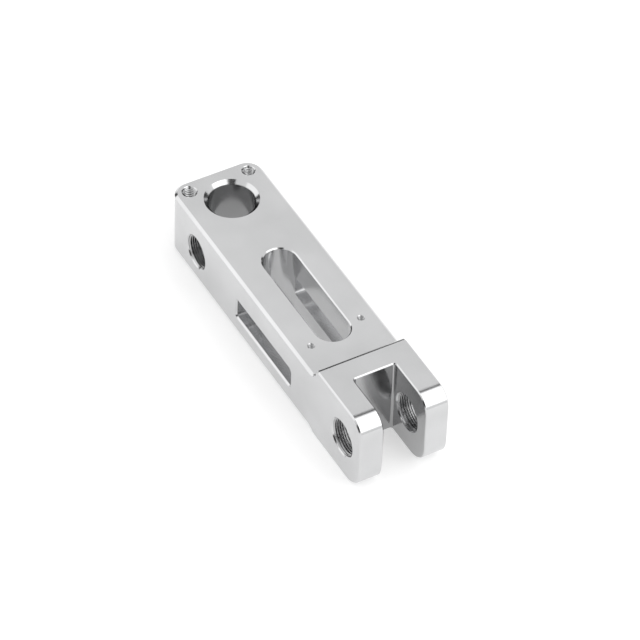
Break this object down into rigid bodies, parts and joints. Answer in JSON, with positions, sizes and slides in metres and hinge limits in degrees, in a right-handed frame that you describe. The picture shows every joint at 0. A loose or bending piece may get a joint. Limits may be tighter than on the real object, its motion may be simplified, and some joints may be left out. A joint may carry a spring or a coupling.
{
  "type": "clevis link",
  "caption": "Machined aluminium link with a bored eye end, a slotted and windowed body, and a forked end with threaded ears.",
  "frame": {"origin": "on the axis of the smooth eye bore, at half the thickness of the body", "axes": "+X from the eye end to the fork end, +Y across the width away from the face with the cross hole, +Z along the eye bore towards the face with the small threaded holes"},
  "size_m": [0.16, 0.04, 0.0369],
  "materials": {
    "aluminium": "finely milled, satin to semi-bright, bare"
  },
  "bodies": {
    "root": {"clevis_link": "aluminium"}
  },
  "joints": []
}
